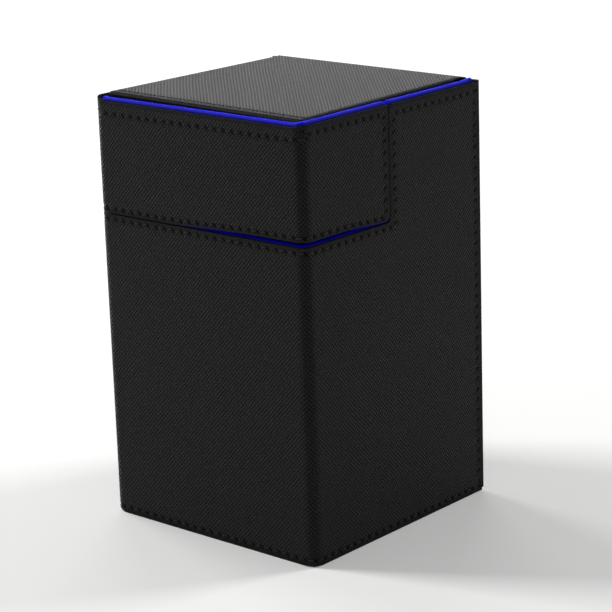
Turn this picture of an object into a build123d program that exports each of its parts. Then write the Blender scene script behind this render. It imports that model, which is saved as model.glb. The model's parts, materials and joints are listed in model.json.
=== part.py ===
"""Card deck box: a rigid box wrapped in embossed sheet, with a hinged flap lid and a lift-out tray.

Millimetres. X runs across the front, +Y to the back, +Z up. The origin is the centre of the base.
"""
import os

from build123d import *

# ---- overall size ----
box_width = 87.4
box_depth = 87.0
sheet_top = 139.0

# ---- wall layers, from the outside in ----
sheet = 1.0
board = 1.8
lining = 0.4
base_sheet = 1.2
base_board = 2.0

# ---- outline of the box and of the flap ----
bend_radius = 3.7
shelf_z = 102.1
flap_gap = 1.4
wing_depth = 40.5
joint_gap = 0.5
cut_corner = 2.0
shoulder_rise = 0.6
shoulder_width = 3.0

# ---- rolled edges of the lining ----
roll_rise = 0.6
flap_roll_drop = 0.25
roll_setback = 0.1
roll_end_gap = 1.2
board_crown = 1.0

# ---- lid panel ----
panel_rise = 1.5
panel_inset_front = 4.6
panel_inset_side = 4.2
panel_sheet = 1.0
panel_board = 1.8
under_board = 1.8
panel_corner = 1.5
panel_edge_round = 0.6
lid_gap = 0.4
hinge_depth = 0.6
hinge_clearance = 1.0
under_rear_gap = 0.7
under_side_gap = 0.5

# ---- magnets hidden in the front boards ----
magnet_length = 12.0
magnet_thickness = 1.6
magnet_height = 5.0
magnet_spacing = 44.0
magnet_slack = 0.1

# ---- lift-out tray ----
tray_height = 34.0
tray_side_gap = 0.6
tray_seat_gap = 0.3
tray_sheet = 0.5
tray_board = 1.5
tray_lining = 0.4
tray_corner = 1.2
thumb_radius = 10.0

# ---- stitching ----
stitch_pitch = 3.6
stitch_length = 2.3
stitch_width = 0.7
stitch_proud = 0.2
stitch_slant = 18
front_row_drop = 3.9
wing_row_drop = 2.5
side_row_drop = 2.9
flap_row_rise = 1.4
shelf_row_drop = 1.7
wing_row_inset = 2.2
cut_row_inset = 2.4
rear_row_inset = 2.7
base_row_rise = 2.3
panel_row_inset = 2.3
row_end = 5.0

# ---- values worked out from the sizes above ----
half_width = box_width / 2
half_depth = box_depth / 2
lined_board = board + lining
wall = sheet + lined_board
roll_radius = lined_board / 2
front_y = -half_depth
back_y = half_depth
cover_y = back_y - sheet
wing_y = front_y + wing_depth
cut_y = wing_y + joint_gap
flap_z = shelf_z + flap_gap
floor_z = base_sheet + base_board
inner_x = half_width - wall
inner_front_y = front_y + wall
inner_back_y = back_y - wall
roll_turn = max(bend_radius - sheet - roll_radius, 1.05 * roll_radius)

side_board_top = sheet_top + roll_rise - roll_radius
shelf_board_top = shelf_z + roll_rise - roll_radius
cut_board_y = cut_y + roll_setback + roll_radius
cut_board_corner = cut_corner + roll_radius
flap_board_bottom = flap_z - flap_roll_drop + roll_radius
wing_board_y = wing_y - roll_setback - roll_radius

panel_top = sheet_top + panel_rise
panel_board_top = panel_top - panel_sheet
panel_board_bottom = panel_board_top - panel_board
under_board_bottom = panel_board_bottom - under_board
lid_lining_bottom = under_board_bottom - lining
hinge_y = back_y - hinge_depth
hinge_z = panel_top - hinge_depth
back_cover_top = hinge_z - hinge_clearance
back_board_top = panel_board_bottom - lid_gap - roll_radius

tray_bottom = floor_z + lining + tray_seat_gap
tray_top = tray_bottom + tray_height
tray_half_x = inner_x - tray_side_gap
tray_half_y = (inner_back_y - inner_front_y) / 2 - tray_side_gap


def block(x0, x1, y0, y1, z0, z1):
    """A box between two corners."""
    centre = Pos((x0 + x1) / 2, (y0 + y1) / 2, (z0 + z1) / 2)
    return centre * Box(x1 - x0, y1 - y0, z1 - z0)


def round_front(inset, rear_y):
    """The box's plan at an inset from its outer face; the sheet bends round its front corners."""
    x = half_width - inset
    plan = Pos(0, (front_y + inset + rear_y) / 2) * Rectangle(2 * x, rear_y - front_y - inset)
    if inset > sheet:
        return plan
    return fillet(plan.vertices().sort_by(Axis.Y)[:2], bend_radius - inset)


def bent_wall(outer, inner, rear_y, z0, z1):
    """A three-sided wall, between two insets, that bends round the front corners."""
    hollow = round_front(inner, rear_y + sheet)
    return Pos(0, 0, z0) * extrude(round_front(outer, rear_y) - hollow, z1 - z0)


def side_profile(low_z, high_z, step_y, corner, crown):
    """The box's side outline as a solid across its width, stepped down towards the front."""
    reach = box_depth
    points = [
        (-reach, 0),
        (-reach, low_z),
        (step_y, low_z),
        (step_y, high_z),
        (reach, high_z),
        (reach, 0),
    ]
    face = make_face(Polyline(*points, close=True))
    low = face.vertices().sort_by_distance((step_y, low_z))[0]
    face = fillet(low, corner)
    if crown > 0:
        high = face.vertices().sort_by_distance((step_y, high_z))[0]
        face = fillet(high, crown)
    return extrude(Plane.YZ * face, box_width, both=True)


def flap_profile(low_z, rear_y, corner):
    """The flap's side outline as a solid across its width, with a rounded lower rear corner."""
    face = Pos(rear_y - box_depth / 2, low_z + box_depth / 2) * Rectangle(box_depth, box_depth)
    face = fillet(face.vertices().sort_by_distance((rear_y, low_z))[0], corner)
    return extrude(Plane.YZ * face, box_width, both=True)


def rolled_edge(line, across):
    """A half-round roll as wide as a lined board, along the edge of that board."""
    path = Wire(line.edges())
    start = Plane(path @ 0, x_dir=across, z_dir=path % 0)
    upper_half = Pos(0, roll_radius) * Rectangle(4 * roll_radius, 2 * roll_radius)
    return sweep(start * (Circle(roll_radius) & upper_half), path=path)


def stitch_row(start, along, outward, length):
    """Evenly spaced stitches lying on a face, each slanted a little off the row."""
    along = Vector(*along)
    outward = Vector(*outward)
    count = int(length / stitch_pitch) + 1
    slack = length - (count - 1) * stitch_pitch
    slant = Rot(0, 0, stitch_slant)
    row = []
    for number in range(count):
        centre = Vector(*start) + along * (slack / 2 + number * stitch_pitch)
        seat = Plane(centre + outward * (stitch_proud / 2), x_dir=along, z_dir=outward)
        row.append(seat * slant * Box(stitch_length, stitch_width, stitch_proud))
    return row


def mirrored(shapes):
    """The same solids on the other side of the box."""
    return [mirror(shape, about=Plane.YZ) for shape in shapes]


def save(node, shapes):
    """Write one node, which holds one solid or a group of separate solids."""
    if isinstance(shapes, list):
        shapes = Compound(children=shapes)
    export_step(shapes, "parts/" + node + ".step")


def make_box_covers():
    """The embossed outer sheets: round three sides, across the back and under the base."""
    wrap = bent_wall(0, sheet, cover_y, base_sheet, sheet_top)
    wrap &= side_profile(shelf_z, sheet_top, cut_y, cut_corner, cut_corner)
    save("body_wrap", wrap)

    back = block(-half_width, half_width, cover_y, back_y, base_sheet, sheet_top + shoulder_rise)
    shoulder_x = half_width - shoulder_width
    back -= block(-shoulder_x, shoulder_x, cover_y, back_y, back_cover_top, panel_top)
    save("back_cover", back)

    save("base_cover", extrude(round_front(0, back_y), base_sheet))


def make_box_boards():
    """The stiff boards behind the sheets, butted together, with slots for the magnets."""
    save("base_board", Pos(0, 0, base_sheet) * extrude(round_front(sheet, cover_y), base_board))

    outline = side_profile(shelf_board_top, side_board_top, cut_board_y, cut_board_corner, board_crown)
    shell = bent_wall(sheet, sheet + board, cover_y, floor_z, sheet_top) & outline
    front_strip = block(-half_width, half_width, front_y, front_y + sheet + board, 0, sheet_top)
    front = shell & front_strip
    for slot in magnet_blocks(shelf_board_top - magnet_height - magnet_slack, magnet_slack):
        front -= slot
    save("front_board", front)

    sides = shell - front_strip
    save("left_board", sides & block(-half_width, 0, front_y, back_y, 0, sheet_top))
    save("right_board", sides & block(0, half_width, front_y, back_y, 0, sheet_top))

    back_x = half_width - sheet - board
    back = block(-back_x, back_x, cover_y - board, cover_y, floor_z, back_board_top)
    save("back_board", back)


def magnet_blocks(z, slack):
    """Two bars side by side in the front wall, or the slots that hold them."""
    thickness = board + 2 * slack if slack else magnet_thickness
    middle_y = front_y + sheet + board / 2
    half = magnet_length / 2 + slack
    bars = []
    for x in (-magnet_spacing / 2, magnet_spacing / 2):
        height = magnet_height + slack
        y0 = middle_y - thickness / 2
        bars.append(block(x - half, x + half, y0, y0 + thickness, z, z + height))
    return bars


def make_box_linings():
    """The soft inner lining: a thin skin on each wall, and one rolled edge that shows."""
    y0 = inner_front_y
    outline = side_profile(shelf_board_top, side_board_top, cut_board_y, cut_board_corner, board_crown)
    skin_back = inner_back_y + lining
    skin = block(inner_x, inner_x + lining, y0 - lining, skin_back, floor_z, sheet_top) & outline
    save("right_lining", skin)
    save("left_lining", mirror(skin, about=Plane.YZ))
    save("front_lining", block(-inner_x, inner_x, y0 - lining, y0, floor_z, shelf_board_top))
    save("back_lining", block(-inner_x, inner_x, inner_back_y, skin_back, floor_z, back_board_top))
    save("base_lining", block(-inner_x, inner_x, y0, inner_back_y, floor_z, floor_z + lining))

    middle_x = half_width - sheet - roll_radius
    middle_y = front_y + sheet + roll_radius
    rear_y = cover_y - roll_end_gap
    path = FilletPolyline(
        (-middle_x, rear_y, side_board_top),
        (-middle_x, cut_board_y, side_board_top),
        (-middle_x, cut_board_y, shelf_board_top),
        (-middle_x, middle_y, shelf_board_top),
        (0, middle_y, shelf_board_top),
        radius=[board_crown, cut_board_corner, roll_turn],
    )
    half = rolled_edge(path, (1, 0, 0))
    save("body_edge_roll", half + mirror(half, about=Plane.YZ))

    back_middle_y = cover_y - roll_radius
    back_path = Line((-inner_x, back_middle_y, back_board_top), (inner_x, back_middle_y, back_board_top))
    save("back_edge_roll", rolled_edge(back_path, (0, 1, 0)))


def make_flap():
    """The flap's three-sided skirt: embossed sheet, boards, lining and rolled edges."""
    sheet_shape = flap_profile(flap_z, wing_y, cut_corner)
    save("lid_skirt", bent_wall(0, sheet, wing_y, flap_z, sheet_top) & sheet_shape)

    board_shape = flap_profile(flap_board_bottom, wing_board_y, cut_corner)
    shell = bent_wall(sheet, sheet + board, wing_board_y, flap_board_bottom, side_board_top) & board_shape
    front_strip = block(-half_width, half_width, front_y, front_y + sheet + board, 0, sheet_top)
    front = shell & front_strip
    for slot in magnet_blocks(flap_board_bottom, magnet_slack):
        front -= slot
    save("skirt_front_board", front)
    sides = shell - front_strip
    save("skirt_left_board", sides & block(-half_width, 0, front_y, back_y, 0, sheet_top))
    save("skirt_right_board", sides & block(0, half_width, front_y, back_y, 0, sheet_top))

    skin = bent_wall(sheet + board, wall, wing_board_y, flap_board_bottom, side_board_top)
    save("skirt_lining", skin & board_shape)

    middle_x = half_width - sheet - roll_radius
    middle_y = front_y + sheet + roll_radius
    top = FilletPolyline(
        (-middle_x, wing_board_y, side_board_top),
        (-middle_x, middle_y, side_board_top),
        (0, middle_y, side_board_top),
        radius=roll_turn,
    )
    half = rolled_edge(top, (1, 0, 0))
    save("skirt_top_roll", half + mirror(half, about=Plane.YZ))

    low = FilletPolyline(
        (-middle_x, wing_board_y, side_board_top),
        (-middle_x, wing_board_y, flap_board_bottom),
        (-middle_x, middle_y, flap_board_bottom),
        (0, middle_y, flap_board_bottom),
        radius=[cut_corner, roll_turn],
    )
    half = rolled_edge(low, (-1, 0, 0))
    save("skirt_bottom_roll", half + mirror(half, about=Plane.YZ))


def make_lid_panel():
    """The lid's flat top: embossed sheet over a board, on a lined board that joins the skirt."""
    x = half_width - panel_inset_side
    y0 = front_y + panel_inset_front
    rear_y = cover_y
    cover = block(-x, x, y0, rear_y, panel_board_bottom, panel_top)
    cover = fillet(cover.edges().filter_by(Axis.Z).sort_by(Axis.Y)[:2], panel_corner)
    cover = fillet(cover.faces().sort_by(Axis.Z)[-1].edges(), panel_edge_round)
    core_x = x - panel_sheet
    core_front = y0 + panel_sheet
    core_rear = cover_y - lid_gap
    core = block(-core_x, core_x, core_front, core_rear, panel_board_bottom, panel_board_top)
    cover -= block(-core_x, core_x, core_front, back_y, 0, panel_board_top)
    rear_cut = block(-half_width, half_width, core_rear, back_y, 0, hinge_z - lid_gap)
    save("lid_top_cover", cover - rear_cut)
    save("lid_top_board", core)

    side_x = inner_x - under_side_gap
    under_rear = inner_back_y - under_rear_gap
    plan_z = (under_board_bottom, panel_board_bottom)
    under = block(-inner_x, inner_x, inner_front_y, wing_board_y, *plan_z)
    under += block(-side_x, side_x, inner_front_y, under_rear, *plan_z)
    save("lid_under_board", under)
    skin_z = (lid_lining_bottom, under_board_bottom)
    skin = block(-inner_x, inner_x, inner_front_y, wing_board_y, *skin_z)
    skin += block(-side_x, side_x, inner_front_y, under_rear, *skin_z)
    save("lid_lining", skin)


def make_magnets():
    """Bar magnets that hold the flap's front against the front of the box."""
    save("body_magnets", magnet_blocks(shelf_board_top - magnet_height, 0))
    save("lid_magnets", magnet_blocks(flap_board_bottom, 0))


def make_tray():
    """A shallow open tray that stands in the bottom of the box and lifts out."""
    x, y = tray_half_x, tray_half_y
    notch = Pos(0, 0, tray_top) * Rot(0, 90, 0) * Cylinder(thumb_radius, box_width)

    cover = block(-x, x, -y, y, tray_bottom, tray_top)
    cover = fillet(cover.edges().filter_by(Axis.Z), tray_corner)
    skin_x, skin_y = x - tray_sheet, y - tray_sheet
    rim_z = tray_top - tray_sheet
    core = block(-skin_x, skin_x, -skin_y, skin_y, tray_bottom + tray_sheet, rim_z)
    well_x = skin_x - tray_board - tray_lining
    well_y = skin_y - tray_board - tray_lining
    mouth = block(-well_x, well_x, -well_y, well_y, tray_bottom + tray_sheet, tray_top)
    save("tray_cover", cover - core - mouth - notch)

    floor = tray_bottom + tray_sheet
    save("tray_base_board", block(-skin_x, skin_x, -skin_y, skin_y, floor, floor + tray_board))
    wall_z = (floor + tray_board, rim_z)
    in_x, in_y = skin_x - tray_board, skin_y - tray_board
    save("tray_front_board", block(-skin_x, skin_x, -skin_y, -in_y, *wall_z))
    save("tray_back_board", block(-skin_x, skin_x, in_y, skin_y, *wall_z))
    save("tray_left_board", block(-skin_x, -in_x, -in_y, in_y, *wall_z) - notch)
    save("tray_right_board", block(in_x, skin_x, -in_y, in_y, *wall_z) - notch)
    liner = block(-in_x, in_x, -in_y, in_y, *wall_z)
    liner -= block(-well_x, well_x, -well_y, well_y, wall_z[0] + tray_lining, tray_top)
    save("tray_lining", liner - notch)


def make_stitching():
    """Rows of lockstitch thread along the edges of the sheets."""
    front_run = box_width - 2 * row_end
    left_x = -half_width + row_end
    wing_run = wing_depth - wing_row_inset - row_end
    front_start = front_y + row_end
    right, out = (1, 0, 0), (0, -1, 0)
    back_way, up = (0, 1, 0), (0, 0, 1)

    wings = stitch_row((half_width, front_start, sheet_top - wing_row_drop), back_way, right, wing_run)
    wings += stitch_row((half_width, front_start, flap_z + flap_row_rise), back_way, right, wing_run)
    rise = sheet_top - wing_row_drop - flap_z - flap_row_rise - 2 * stitch_pitch
    wing_start = (half_width, wing_y - wing_row_inset, flap_z + flap_row_rise + stitch_pitch)
    wings += stitch_row(wing_start, up, right, rise)
    fronts = stitch_row((left_x, front_y, sheet_top - front_row_drop), right, out, front_run)
    fronts += stitch_row((left_x, front_y, flap_z + flap_row_rise), right, out, front_run)
    save("skirt_stitching", fronts + wings + mirrored(wings))

    shelf_row = shelf_z - shelf_row_drop
    cut_row_y = cut_y + cut_row_inset
    shelf_run = cut_row_y - front_start - stitch_pitch / 2
    sides = stitch_row((half_width, front_start, shelf_row), back_way, right, shelf_run)
    top_row = sheet_top - side_row_drop
    rise = top_row - shelf_row - stitch_pitch
    sides += stitch_row((half_width, cut_row_y, shelf_row + stitch_pitch / 2), up, right, rise)
    top_run = back_y - rear_row_inset - cut_row_y - 2 * stitch_pitch
    sides += stitch_row((half_width, cut_row_y + stitch_pitch, top_row), back_way, right, top_run)
    fronts = stitch_row((left_x, front_y, shelf_row), right, out, front_run)
    save("cut_edge_stitching", fronts + sides + mirrored(sides))

    rear_start = (half_width, back_y - rear_row_inset, base_row_rise + stitch_pitch)
    rear_run = top_row - base_row_rise - stitch_pitch
    rear = stitch_row(rear_start, up, right, rear_run)
    save("rear_edge_stitching", rear + mirrored(rear))

    side_run = box_depth - row_end - rear_row_inset
    base_side = stitch_row((half_width, front_start, base_row_rise), back_way, right, side_run)
    base_front = stitch_row((left_x, front_y, base_row_rise), right, out, front_run)
    base_back = [mirror(stitch, about=Plane.XZ) for stitch in base_front]
    save("base_edge_stitching", base_front + base_back + base_side + mirrored(base_side))

    panel_x = half_width - panel_inset_side - panel_row_inset
    panel_start = (-panel_x, front_y + panel_inset_front + panel_row_inset, panel_top)
    save("panel_stitching", stitch_row(panel_start, right, up, 2 * panel_x))


def main():
    os.makedirs("parts", exist_ok=True)
    make_box_covers()
    make_box_boards()
    make_box_linings()
    make_flap()
    make_lid_panel()
    make_magnets()
    make_tray()
    make_stitching()
    print("hinge axis at y", round(hinge_y, 3), "z", round(hinge_z, 3))
    print("tray travel", round(lid_lining_bottom - lid_gap - tray_top, 3))


main()
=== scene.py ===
"""Looks of the card deck box: embossed black leatherette outside, blue microfibre inside.

Metres throughout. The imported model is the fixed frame, and every length below comes from it or from
the maker's sizes at the top. Each sheet is ruled out flat, cut, folded round its boards and thickened.
"""
import json
import math
import random

import bpy
from mathutils import Matrix, Vector


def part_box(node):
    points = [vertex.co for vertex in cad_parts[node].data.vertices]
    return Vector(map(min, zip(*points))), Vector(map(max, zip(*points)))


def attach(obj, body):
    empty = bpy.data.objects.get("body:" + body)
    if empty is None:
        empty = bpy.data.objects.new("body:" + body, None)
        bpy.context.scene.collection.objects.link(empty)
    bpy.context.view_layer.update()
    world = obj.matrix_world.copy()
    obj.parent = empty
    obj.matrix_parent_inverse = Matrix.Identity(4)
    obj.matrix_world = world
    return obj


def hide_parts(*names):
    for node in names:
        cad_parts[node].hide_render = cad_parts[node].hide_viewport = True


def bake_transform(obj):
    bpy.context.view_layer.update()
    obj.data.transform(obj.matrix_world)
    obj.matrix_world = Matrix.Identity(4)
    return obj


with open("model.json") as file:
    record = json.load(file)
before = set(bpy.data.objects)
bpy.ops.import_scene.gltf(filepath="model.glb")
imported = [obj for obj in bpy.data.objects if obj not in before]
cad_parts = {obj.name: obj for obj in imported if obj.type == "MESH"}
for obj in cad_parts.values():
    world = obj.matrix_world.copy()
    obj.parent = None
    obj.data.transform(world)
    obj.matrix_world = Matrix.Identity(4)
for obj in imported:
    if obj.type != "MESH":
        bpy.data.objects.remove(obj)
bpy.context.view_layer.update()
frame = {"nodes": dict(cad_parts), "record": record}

random.seed(7)
MM = 0.001

# ---- maker's sizes ----
SHEET = 1.0 * MM
BEND = 3.7 * MM
FLAP_GAP = 1.4 * MM
JOINT_GAP = 0.5 * MM
CUT_CORNER = 2.0 * MM
STITCH_PITCH = 3.6 * MM
STITCH_LENGTH = 2.5 * MM
THREAD_RADIUS = 0.26 * MM
CELL = STITCH_PITCH / 3
SEAM_DEPTH = 0.24 * MM
SEAM_REACH = 1.3 * MM
STITCH_LEAN = 14
LATTICE_ACROSS = 1.36 * MM
LATTICE_UP = 1.44 * MM
LINING = 0.4 * MM
LINING_CELL = 1.6 * MM
LID_PILLOW = 0.4 * MM
WALL = 3.2 * MM
ROLL_RADIUS = 1.1 * MM
ROLL_TUCK = 1.2 * MM
ROLL_DROP = 2.4 * MM
CLOSE_UP = 0.16 * MM  # each side of the upright joint is drawn this much nearer to the other
EDGE_WEAR = 0.22 * MM
ARC_STEPS = 8
AMID = 5 * MM  # past this distance from an edge a sheet is the same as in its middle

# ---- where the seams run, measured from the edge that each follows ----
FRONT_ROW_DROP = 3.9 * MM
WING_ROW_DROP = 2.5 * MM
SIDE_ROW_DROP = 2.9 * MM
FLAP_ROW_RISE = 1.4 * MM
SHELF_ROW_DROP = 1.7 * MM
WING_ROW_INSET = 2.2 * MM
CUT_ROW_INSET = 2.4 * MM
REAR_ROW_INSET = 2.7 * MM
BASE_ROW_RISE = 2.3 * MM
PANEL_ROW_INSET = 3.4 * MM

# ---- the sheet over the lid's board ----
LIP_TURN = 0.7 * MM
LIP_DROP = 1.9 * MM
HINGE_TURN = 2.6 * MM
PANEL_LEAN = 0.4 * MM
PANEL_SKEW = 1.7 * MM
PANEL_PUFF = 0.04 * MM

# ---- how far the worn-in flap hangs at its lower edge and rises at its upper edge ----
LEFT_HANG = 1.05 * MM
WING_HANG = 0.7 * MM
FRONT_LIFT = 0.25 * MM
TOP_RISE = 0.12 * MM
FRONT_DIP = 0.4 * MM
LEFT_CORNER_RISE = 0.85 * MM

# ---- how far the rolled edges stand beyond the sheets ----
TOP_CREST = 1.03 * MM
END_RISE = 0.4 * MM
HIDDEN_DROP = 2.5 * MM
STEP_CREST = 0.08 * MM
LEFT_CREST = 0.6 * MM
SHELF_CREST = 0.65 * MM
FLAP_CREST = 0.25 * MM

# ---- the studio: each light's name, place, size and power, then the camera's angles and aim ----
WORLD_STRENGTH = 0.21
SOFT_LIGHTS = (
    ("left_softbox", (-1.42, -0.66, 1.25), 0.5, 22),
    ("right_softbox", (0.72, 1.3, 1.25), 0.5, 12),
    ("low_panel", (-1.65, 1.88, 0.85), 1.4, 17),
    ("camera_fill", (1.15, -1.32, 0.28), 0.4, 9),
    ("left_rim", (-1.9, 0.35, 0.3), 0.6, 25),
)
LIGHT_AIM = Vector((0, 0, 0.07))
CAMERA_LENS = 137.3
CAMERA_ANGLES = (41.30, 15.89, -1.89)
CAMERA_TARGET = Vector((5.2 * MM, 0, 68.3 * MM))
CAMERA_DISTANCE = 759 * MM

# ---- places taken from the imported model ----
WRAP_LOW, WRAP_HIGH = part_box("body_wrap")
SKIRT_LOW, SKIRT_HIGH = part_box("lid_skirt")
PANEL_LOW, PANEL_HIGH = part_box("lid_top_cover")
BACK_LOW, BACK_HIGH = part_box("back_cover")
BASE_LOW, BASE_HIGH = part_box("base_cover")
HALF_WIDTH = WRAP_HIGH.x
FRONT_Y = WRAP_LOW.y
SHELF_Z = SKIRT_LOW.z - FLAP_GAP
CUT_Y = SKIRT_HIGH.y + JOINT_GAP
FLAT_FRONT = HALF_WIDTH - BEND
BEND_ARC = BEND * math.pi / 2
LID_BOARDS = ("lid_under_board", "lid_top_board",
              "skirt_front_board", "skirt_left_board", "skirt_right_board")


# ---------------------------------------------------------------- materials

def linear(text):
    """An sRGB hex colour as the linear values that a shader takes."""
    channels = [int(text[at:at + 2], 16) / 255 for at in (1, 3, 5)]
    return tuple(c / 12.92 if c <= 0.04045 else ((c + 0.055) / 1.055) ** 2.4 for c in channels) + (1.0,)


def feed(material, node, inputs):
    """Sets each of a node's inputs to a value, or links it to the socket that feeds it."""
    for key, value in inputs.items():
        if isinstance(value, bpy.types.NodeSocket):
            material.node_tree.links.new(value, node.inputs[key])
        else:
            node.inputs[key].default_value = value


def add(material, kind, inputs, **settings):
    """Adds a shader node with its settings and inputs, and returns its outputs."""
    made = material.node_tree.nodes.new("ShaderNode" + kind)
    for name, value in settings.items():
        setattr(made, name, value)
    feed(material, made, inputs)
    return made.outputs


def new_material(name):
    """A material and its principled shader."""
    material = bpy.data.materials.new(name)
    material.use_nodes = True
    return material, material.node_tree.nodes["Principled BSDF"]


def leatherette(name, low_colour, high_colour):
    """Polyurethane leatherette, calendered with a fine lattice of raised dots and then stitched.

    The tops of the dots are polished and catch the light; the pits are dull, and so is the strip
    along a cut edge, which the sewing foot flattened. In the colour the tops are lighter, as painted light,
    and the pits darker, as painted shade. A needle hole leans, and its darkness is painted shade.
    """
    material, surface = new_material(name)
    pitch = (2 * math.pi / LATTICE_ACROSS, 2 * math.pi / LATTICE_UP, 0)
    pressed_width, clear_width = 0.7 * MM, 2.6 * MM
    hole_width, hole_height, hole_lean = 0.6 * MM, 0.76 * MM, 0.45
    grain_size, cloud_size = 0.35 * MM, 22 * MM

    sheet = add(material, "UVMap", {}, uv_map="sheet")[0]
    waves = add(material, "VectorMath", {0: sheet, 1: pitch}, operation="MULTIPLY")[0]
    waves = add(material, "VectorMath", {0: waves}, operation="COSINE")[0]
    waves = add(material, "SeparateXYZ", {0: waves})
    dots = add(material, "Math", {0: waves[0], 1: waves[1]}, operation="MULTIPLY")[0]
    dots = add(material, "MapRange", {0: dots, 1: -0.8, 2: 0.95}, interpolation_type="SMOOTHSTEP")[0]
    edge = add(material, "Attribute", {}, attribute_name="edge")["Fac"]
    press_and_shade = add(material, "MapRange", {0: edge, 1: pressed_width, 2: clear_width, 3: 0.12, 4: 1.0},
                  interpolation_type="SMOOTHSTEP")[0]
    dots = add(material, "Math", {0: dots, 1: press_and_shade}, operation="MULTIPLY")[0]
    grain = add(material, "TexNoise", {"Scale": 1 / grain_size, "Detail": 3.0, "Vector": sheet})["Fac"]
    cloudy = add(material, "TexNoise", {"Scale": 1 / cloud_size, "Detail": 2.0, "Vector": sheet})["Fac"]

    along_seam = add(material, "Attribute", {}, attribute_name="seam_along")["Fac"]
    off_seam = add(material, "Attribute", {}, attribute_name="seam_off")["Fac"]
    reach = add(material, "Math", {0: off_seam}, operation="ABSOLUTE")[0]
    groove = add(material, "MapRange", {0: reach, 1: 0.0, 2: SEAM_REACH, 3: 1.0, 4: 0.0},
                 interpolation_type="SMOOTHSTEP")[0]
    side = add(material, "Math", {0: along_seam, 1: 0.5, 2: -0.5}, operation="WRAP")[0]
    side = add(material, "Math", {0: side, 1: STITCH_PITCH / hole_width}, operation="MULTIPLY")[0]
    side = add(material, "Math", {0: off_seam, 1: hole_lean / hole_width, 2: side},
               operation="MULTIPLY_ADD")[0]
    rise = add(material, "Math", {0: off_seam, 1: hole_height}, operation="DIVIDE")[0]
    spread = add(material, "Math", {0: rise, 1: rise}, operation="MULTIPLY")[0]
    spread = add(material, "Math", {0: side, 1: side, 2: spread}, operation="MULTIPLY_ADD")[0]
    hole = add(material, "MapRange", {0: spread, 1: 0.55, 2: 1.4, 3: 1.0, 4: 0.0},
               interpolation_type="SMOOTHSTEP")[0]

    # Painted light and shade: the tops of the dots are coloured lighter and the pits darker; the cloudy part
    # is the sheet's own random tone.
    tone = add(material, "Math", {0: dots, 1: 0.8}, operation="MULTIPLY")[0]
    tone = add(material, "Math", {0: cloudy, 1: 0.25, 2: tone}, operation="MULTIPLY_ADD")[0]
    colour = add(material, "Mix", {0: tone, 6: linear(low_colour), 7: linear(high_colour)},
                 data_type="RGBA")[2]
    # Painted shade: each needle hole is darkened to near black, as the shadow in its mouth.
    colour = add(material, "Mix", {0: hole, 6: colour, 7: linear("#020202")}, data_type="RGBA")[2]
    shine = add(material, "MapRange", {0: dots, 1: 0.0, 2: 1.0, 3: 0.62, 4: 0.42},
                interpolation_type="SMOOTHSTEP")[0]
    shine = add(material, "Math", {0: hole, 1: 0.35, 2: shine}, operation="MULTIPLY_ADD")[0]
    height = 0.0
    for shape, share in ((dots, 0.72), (grain, 0.03), (groove, -0.10), (hole, -0.45)):  # millimetres
        height = add(material, "Math", {0: shape, 1: share, 2: height}, operation="MULTIPLY_ADD")[0]
    bump = add(material, "Bump", {"Strength": 1.0, "Distance": MM, "Height": height})[0]
    feed(material, surface, {"IOR": 1.5, "Specular IOR Level": 0.12, "Base Color": colour,
                             "Roughness": shine, "Normal": bump})
    return material


def microfibre(name, low_colour, high_colour, painted_shade_colour):
    """Brushed polyester microfibre, knitted and sanded to a short nap that shines where it is seen along.

    Where a rolled edge asks for it, the colour is darkened towards a painted shade colour: painted shade on
    the roll's flanks and in its recesses.
    """
    material, surface = new_material(name)
    tuft, stroke = 0.5 * MM, 14 * MM
    place = add(material, "TexCoord", {})["Object"]
    nap = add(material, "TexNoise",
              {"Scale": 1 / tuft, "Detail": 4.0, "Roughness": 0.7, "Vector": place})["Fac"]
    strokes = add(material, "TexNoise",
                  {"Scale": 1 / stroke, "Detail": 3.0, "Distortion": 1.4, "Vector": place})["Fac"]
    tone = add(material, "MapRange", {0: strokes, 1: 0.35, 2: 0.65, 3: 0.0, 4: 0.5},
               interpolation_type="SMOOTHSTEP")[0]
    tone = add(material, "Math", {0: nap, 1: 0.5, 2: tone}, operation="MULTIPLY_ADD")[0]
    colour = add(material, "Mix", {0: tone, 6: linear(low_colour), 7: linear(high_colour)},
                 data_type="RGBA")[2]
    # Painted shade: the colour is mixed towards the painted shade colour where the roll's shade attribute
    # asks.
    roll_painted_shade = add(material, "Attribute", {}, attribute_name="roll_painted_shade")["Fac"]
    colour = add(material, "Mix", {0: roll_painted_shade, 6: colour, 7: linear(painted_shade_colour)}, data_type="RGBA")[2]
    bump = add(material, "Bump", {"Strength": 0.7, "Distance": 0.12 * MM, "Height": nap})[0]
    feed(material, surface, {"IOR": 1.45, "Roughness": 0.55, "Specular IOR Level": 0.08, "Sheen Weight": 0.05,
                             "Sheen Roughness": 0.3, "Sheen Tint": linear("#5560ff"), "Base Color": colour,
                             "Normal": bump})
    return material


def thread(name, colour_hex):
    """Bonded polyester thread, twisted from three plies and waxed, so each ply is a slanting ridge."""
    material, surface = new_material(name)
    place = add(material, "UVMap", {}, uv_map="sheet")[0]
    axes = add(material, "SeparateXYZ", {0: place})
    turn = add(material, "Math", {0: axes[0], 1: axes[1]}, operation="ADD")[0]
    turn = add(material, "Math", {0: turn, 1: 2 * math.pi}, operation="MULTIPLY")[0]
    ply = add(material, "Math", {0: turn}, operation="SINE")[0]
    bump = add(material, "Bump", {"Strength": 0.8, "Distance": 0.08 * MM, "Height": ply})[0]
    feed(material, surface, {"IOR": 1.5, "Roughness": 0.55, "Specular IOR Level": 0.15,
                             "Base Color": linear(colour_hex), "Normal": bump})
    return material


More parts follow.
